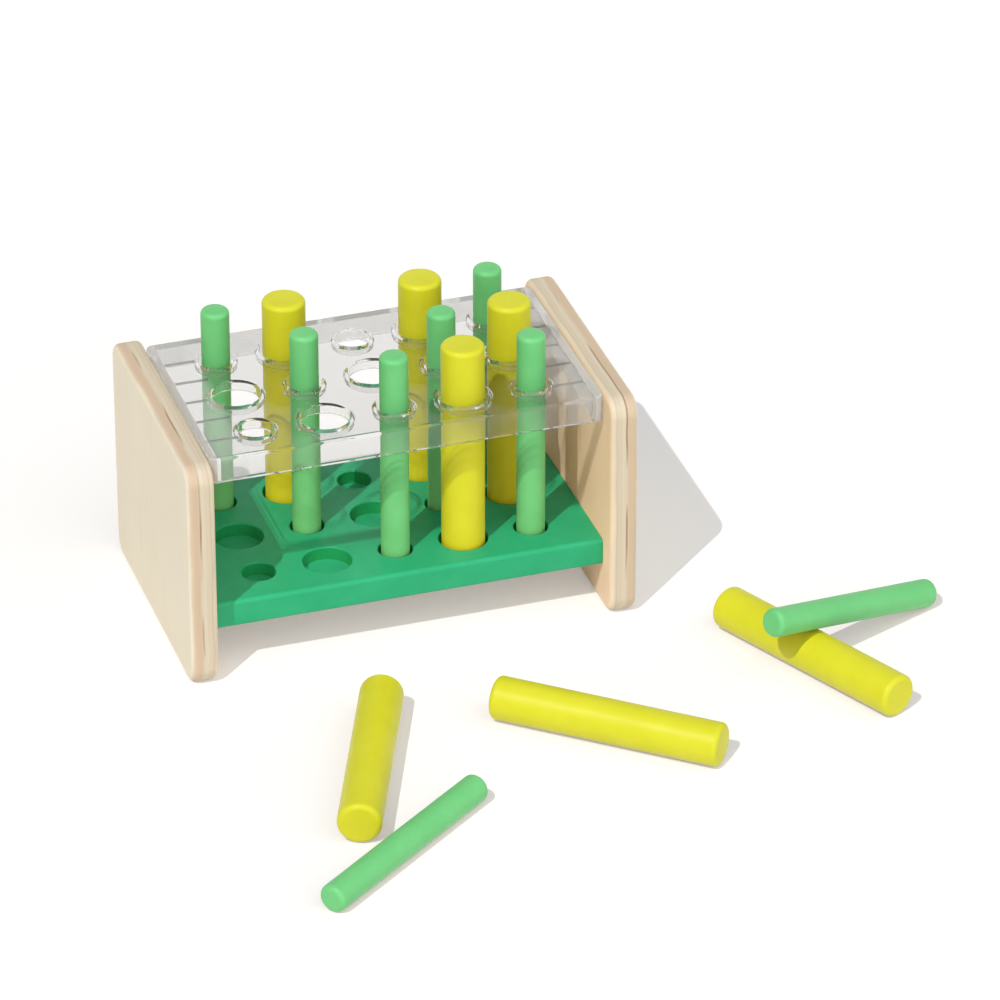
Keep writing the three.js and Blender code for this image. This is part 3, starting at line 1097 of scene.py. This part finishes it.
@dataclass
class PegSet:
    """All the pegs of one thickness."""

    size: PegSize
    diameter: float
    slot: str
    length: float = 100.0 * MM
    edge: float = 2.2 * MM
    edge_steps: int = 8
    facets: int = 64
    pieces: list[Piece] = field(default_factory=list)

    def model(self) -> Piece:
        """Turns one peg on the z axis, keeps its own coordinates in an attribute, and returns it."""
        deselect()
        half = self.length / 2
        bpy.ops.mesh.primitive_cylinder_add(vertices=self.facets, radius=self.diameter / 2, depth=self.length)
        peg = made(self.size.value)
        round_edges(peg, at_level(2, -half, half), self.edge, self.edge_steps)
        smooth(peg)
        places = peg.data.attributes.new(PEG_PLACES, "FLOAT_VECTOR", "POINT")
        for point, vertex in zip(places.data, peg.data.vertices):
            point.vector = vertex.co
        return peg

    @staticmethod
    def line(node: Piece) -> tuple[Vector, Vector]:
        """Finds where a CAD peg lies.

        Args:
            node: The CAD peg.

        Returns:
            Its middle and the direction of its length.
        """
        points = np.array([vertex.co for vertex in node.data.vertices])
        axes = np.linalg.svd(points - points.mean(axis=0), full_matrices=False)[2]
        reach = points @ axes.T
        middle = ((reach.min(axis=0) + reach.max(axis=0)) / 2) @ axes
        length = Vector(axes[0])
        return Vector(middle), -length if length.z < 0 else length

    def build(self) -> None:
        """Models a peg once and copies it to where each CAD peg of this thickness lies."""
        first = self.model()
        names = sorted(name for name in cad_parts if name.startswith(self.size.value))
        for number, name in enumerate(names, start=1):
            middle, length = self.line(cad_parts[name])
            peg = copy_of(first, f"{name}_painted", Vector((0.0, 0.0, 0.0)))
            shift = Vector((0.0, 0.0, number * 2 * self.length))
            for point in peg.data.attributes[PEG_PLACES].data:
                point.vector = Vector(point.vector) + shift
            peg.rotation_mode = "QUATERNION"
            peg.rotation_quaternion = UP.rotation_difference(length)
            peg.location = middle
            self.pieces.append(settle(peg))
        bpy.data.objects.remove(first)

    def dress(self, material: Material) -> None:
        """Paints the pegs and ties each to its own body."""
        for peg in self.pieces:
            node = peg.name.removesuffix("_painted")
            put_up(peg, f"{node}_body", node, material)


# Studio


@dataclass
class Studio:
    """A white floor, one hard key lamp from the front left, a wide soft lamp from the front, white fill
    all round, and the camera."""

    floor_level: float = -20.5 * MM
    floor_size: float = 8.0
    floor_tone: str = "#efedeb"
    floor_glow: float = 0.235
    fill: float = 0.24
    key_strength: float = 1.8
    key_spread: float = radians(0.5)
    to_key: Triple = (-0.459, -0.412, 0.787)
    soft_strength: float = 1.96
    soft_spread: float = radians(120.0)
    to_soft: Triple = (0.3, -0.9, 0.26)
    eye: Triple = (-0.6801, -2.2776, 1.4379)
    aim: Triple = (0.0476, -0.0261, 0.0254)
    lens: float = 234.6
    sensor: float = 36.0

    @staticmethod
    def seen(tree: Tree) -> Socket:
        """Returns a socket that is 1 for rays from the camera, off gloss or through clear plastic."""
        path = add_node(tree, "LightPath", {}, {})
        mirrored = add_node(tree, "Math", {"operation": "MAXIMUM"}, {
            0: path.outputs["Is Camera Ray"], 1: path.outputs["Is Glossy Ray"],
        })
        return add_node(tree, "Math", {"operation": "MAXIMUM"}, {
            0: mirrored.outputs[0], 1: path.outputs["Is Transmission Ray"],
        }).outputs[0]

    def lay_floor(self) -> None:
        """Lays the white floor, which keeps the object's shadow."""
        deselect()
        bpy.ops.mesh.primitive_plane_add(size=self.floor_size, location=(0.0, 0.0, self.floor_level))
        floor = made("studio_floor")
        material, tree = new_tree("studio_floor_white")
        matt = add_node(tree, "BsdfDiffuse", {}, {"Color": linear(self.floor_tone)})
        lift = add_node(tree, "Math", {"operation": "MULTIPLY"}, {0: self.seen(tree), 1: self.floor_glow})
        glow = add_node(tree, "Emission", {}, {"Strength": lift.outputs[0]})
        both = add_node(tree, "AddShader", {}, {0: matt.outputs[0], 1: glow.outputs[0]})
        add_node(tree, "OutputMaterial", {}, {"Surface": both.outputs[0]})
        floor.data.materials.append(material)

    @staticmethod
    def hang_lamp(name: str, strength: float, spread: float, towards: Triple) -> None:
        """Hangs a far lamp.

        Args:
            name: The lamp's name.
            strength: Its strength.
            spread: The angle that it fills as seen from the object.
            towards: The direction from the object to it.
        """
        lamp = bpy.data.lights.new(name, "SUN")
        lamp.energy = strength
        lamp.angle = spread
        holder = bpy.data.objects.new(name, lamp)
        holder.rotation_mode = "QUATERNION"
        holder.rotation_quaternion = Vector(towards).to_track_quat("Z", "Y")
        bpy.context.scene.collection.objects.link(holder)

    def light(self) -> None:
        """Hangs both lamps and sets the white fill."""
        self.hang_lamp("key_lamp", self.key_strength, self.key_spread, self.to_key)
        self.hang_lamp("soft_lamp", self.soft_strength, self.soft_spread, self.to_soft)
        world = bpy.data.worlds.new("white_room")
        world.use_nodes = True
        tree = world.node_tree
        tree.nodes.clear()
        strength = add_node(tree, "MapRange", {}, {"Value": self.seen(tree), "To Min": self.fill})
        room = add_node(tree, "Background", {}, {
            "Color": linear("#ffffff"), "Strength": strength.outputs["Result"],
        })
        add_node(tree, "OutputWorld", {}, {"Surface": room.outputs[0]})
        bpy.context.scene.world = world

    def place_camera(self) -> None:
        """Sets the camera at the photograph's viewing angle."""
        data = bpy.data.cameras.new("camera")
        data.lens = self.lens
        data.sensor_width = self.sensor
        camera = bpy.data.objects.new("camera", data)
        camera.location = self.eye
        camera.rotation_mode = "QUATERNION"
        camera.rotation_quaternion = (Vector(self.aim) - Vector(self.eye)).to_track_quat("-Z", "Y")
        bpy.context.scene.collection.objects.link(camera)
        bpy.context.scene.camera = camera

    def build(self) -> None:
        """Sets up the whole studio, with colours shown as they are."""
        self.lay_floor()
        self.light()
        self.place_camera()
        bpy.context.scene.view_settings.view_transform = "Standard"


def main() -> None:
    """Builds and dresses the stand, the pegs and the studio in order."""
    logging.basicConfig(level=logging.INFO, format="%(name)s: %(message)s")
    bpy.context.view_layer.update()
    pattern, dowels = HolePattern(), Dowels()
    plywood = BirchPly().material()
    for end in End:
        panel = EndPanel(end)
        panel.dress(panel.build(dowels), plywood)
    board = PegBoard()
    board.dress(board.build(pattern, dowels), BOARD_GREEN.material())
    tray = GuideTray()
    tray.dress(tray.build(pattern), ClearAcrylic().material(), SATIN_RIBS_SHADED_GREY.material())
    dowels.dress(BareBeech().material())
    slim = PegSet(PegSize.SLIM, diameter=12.2 * MM, slot="slim_green")
    slim.build()
    slim.dress(SLIM_GREEN.material())
    thick = PegSet(PegSize.THICK, diameter=18.5 * MM, slot="thick_yellow")
    thick.build()
    thick.dress(THICK_YELLOW.material())
    Studio().build()


if __name__ == "__main__":
    main()
